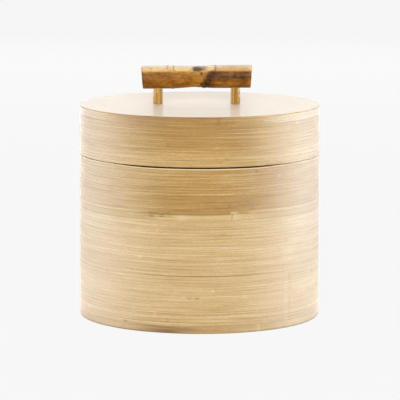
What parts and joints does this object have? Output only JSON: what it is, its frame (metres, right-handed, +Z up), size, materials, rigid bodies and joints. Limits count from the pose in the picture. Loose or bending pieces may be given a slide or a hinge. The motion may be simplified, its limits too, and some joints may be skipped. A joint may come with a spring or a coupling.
{
  "type": "bamboo storage box",
  "caption": "Round storage box of wound, lacquered bamboo strip with a flush lift-off lid and a natural bamboo bar handle on dowel posts.",
  "frame": {"origin": "middle of the box's flat underside", "axes": "+Z up along the axis of the round box, +X to the right along the handle bar, +Y away from the viewer"},
  "size_m": [0.2, 0.2, 0.2096],
  "materials": {
    "wound_bamboo": "sanded wound bamboo strip under clear gloss lacquer",
    "bamboo_disc": "sanded wound bamboo strip under clear gloss lacquer",
    "pale_strip": "pale bamboo strip under clear gloss lacquer",
    "collar_bamboo": "bent bamboo strip, satin",
    "dark_bamboo": "smoked natural bamboo stick under gloss lacquer",
    "dowel_bamboo": "golden bamboo dowel, satin"
  },
  "bodies": {
    "box": {"base_disc": "bamboo_disc", "lower_wall_coil": "wound_bamboo", "middle_wall_coil": "wound_bamboo", "joint_strip": "pale_strip", "upper_wall_coil": "wound_bamboo", "lid_collar": "collar_bamboo"},
    "lid": {"lid_wall_coil": "wound_bamboo", "lid_disc": "bamboo_disc", "handle_bar": "dark_bamboo", "left_handle_post": "dowel_bamboo", "right_handle_post": "dowel_bamboo"}
  },
  "joints": [
    {"name": "lid_lift", "type": "slide", "parent": "box", "child": "lid", "axis": [0, 0, 1], "range_m": [0, 0.16]}
  ]
}
